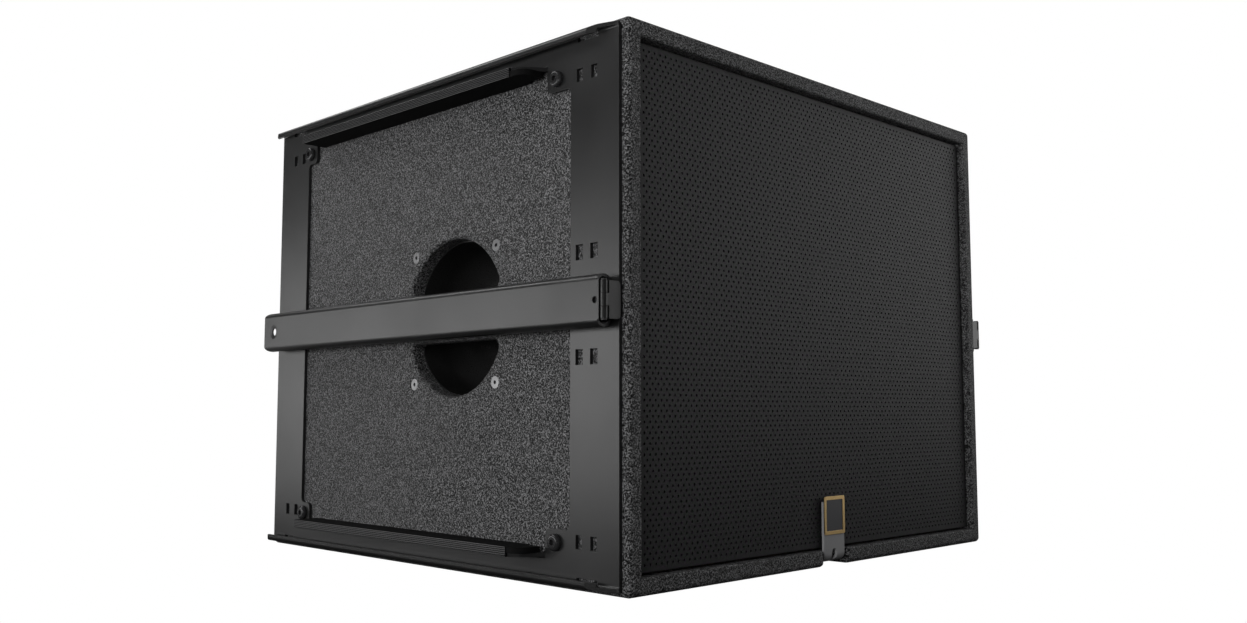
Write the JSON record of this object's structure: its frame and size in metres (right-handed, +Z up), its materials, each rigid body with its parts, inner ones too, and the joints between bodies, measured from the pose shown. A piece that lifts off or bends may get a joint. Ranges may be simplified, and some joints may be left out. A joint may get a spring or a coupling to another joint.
{
  "type": "line array speaker",
  "caption": "Low-frequency line array element: textured black cabinet, full-front perforated grille, slotted steel side frames with ribbed rails, hinged side bars and large hand holds.",
  "frame": {"origin": "under the middle of the cabinet, at the level of the feet", "axes": "+X to the right as seen from the front, +Y from the front grille to the back, +Z up"},
  "size_m": [0.74, 0.67, 0.564],
  "materials": {
    "textured_paint": "coarse textured black paint on plywood",
    "birch_ply": "bare plywood",
    "felt": "grey felt",
    "grille_steel": "matt black powder coat",
    "foam": "open-cell black foam",
    "badge_gold": "satin gold",
    "bracket_grey": "satin grey",
    "zinc": "zinc plated",
    "cast_frame": "black powder-coated casting",
    "gasket": "matt",
    "black_screw": "black oxide",
    "terminal_plastic": "fine matt",
    "surround_rubber": "matt",
    "cone_paper": "coated black paper",
    "coil_copper": "enamelled winding",
    "spider_cloth": "resin-coated cloth",
    "magnet_steel": "phosphated",
    "ferrite": "sintered, dull",
    "plate_steel": "satin black powder coat",
    "rail_nylon": "moulded, ribbed",
    "bar_steel": "satin black powder coat",
    "pin_steel": "blackened",
    "cup_plastic": "fine matt",
    "lead_sheath": "matt",
    "foot_rubber": "matt",
    "port_plastic": "matt"
  },
  "bodies": {
    "cabinet": {"top_panel": "textured_paint", "bottom_panel": "textured_paint", "rear_panel": "textured_paint", "front_baffle": "birch_ply", "brace": "birch_ply", "grille_frame": "birch_ply", "rear_lining": "felt", "front_grille": "grille_steel", "acoustic_foam": "foam", "badge_plate": "badge_gold", "badge_bracket": "bracket_grey", "bracket_screw": "zinc", "driver_basket": "cast_frame", "driver_gasket": "gasket", "driver_screws": "black_screw", "driver_terminals": "terminal_plastic", "cone_surround": "surround_rubber", "spider": "spider_cloth", "magnet_front_plate": "magnet_steel", "ferrite_magnet": "ferrite", "pole_piece": "magnet_steel", "connector_plate": "plate_steel", "connector_screws": "black_screw", "speaker_socket_upper": "terminal_plastic", "speaker_socket_lower": "terminal_plastic", "socket_screws": "black_screw", "internal_lead": "lead_sheath", "feet": "foot_rubber", "foot_screws": "zinc", "port_tube_upper_left": "port_plastic", "port_tube_upper_right": "port_plastic", "port_tube_lower_left": "port_plastic", "port_tube_lower_right": "port_plastic", "side_panel_left": "textured_paint", "side_panel_right": "textured_paint", "side_plate_left": "plate_steel", "side_plate_right": "plate_steel", "plate_screws_left": "black_screw", "plate_screws_right": "black_screw", "rail_upper_left": "rail_nylon", "rail_upper_right": "rail_nylon", "rail_lower_left": "rail_nylon", "rail_lower_right": "rail_nylon", "fixed_leaf_left": "bar_steel", "fixed_leaf_right": "bar_steel", "hinge_pin_left": "pin_steel", "hinge_pin_right": "pin_steel", "bar_catch_left": "bar_steel", "bar_catch_right": "bar_steel", "handle_cup_left": "cup_plastic", "handle_cup_right": "cup_plastic", "handle_screws_left": "zinc", "handle_screws_right": "zinc"},
    "bar_left": {"side_bar_left": "bar_steel", "bar_leaf_left": "bar_steel"},
    "bar_right": {"side_bar_right": "bar_steel", "bar_leaf_right": "bar_steel"},
    "cone": {"speaker_cone": "cone_paper", "dust_cap": "cone_paper", "voice_coil": "coil_copper"}
  },
  "joints": [
    {"name": "bar_left_swing", "type": "hinge", "parent": "cabinet", "child": "bar_left", "pos_m": [-0.3605, -0.32525, 0.284], "axis": [0, 0, 1], "range_deg": [0, 95]},
    {"name": "bar_right_swing", "type": "hinge", "parent": "cabinet", "child": "bar_right", "pos_m": [0.3605, -0.32525, 0.284], "axis": [0, 0, -1], "range_deg": [0, 95]},
    {"name": "cone_travel", "type": "slide", "parent": "cabinet", "child": "cone", "axis": [0, -1, 0], "range_m": [-0.01, 0.01], "stiffness_N_per_m": 9000, "deforming": ["cone_surround", "spider"]}
  ]
}
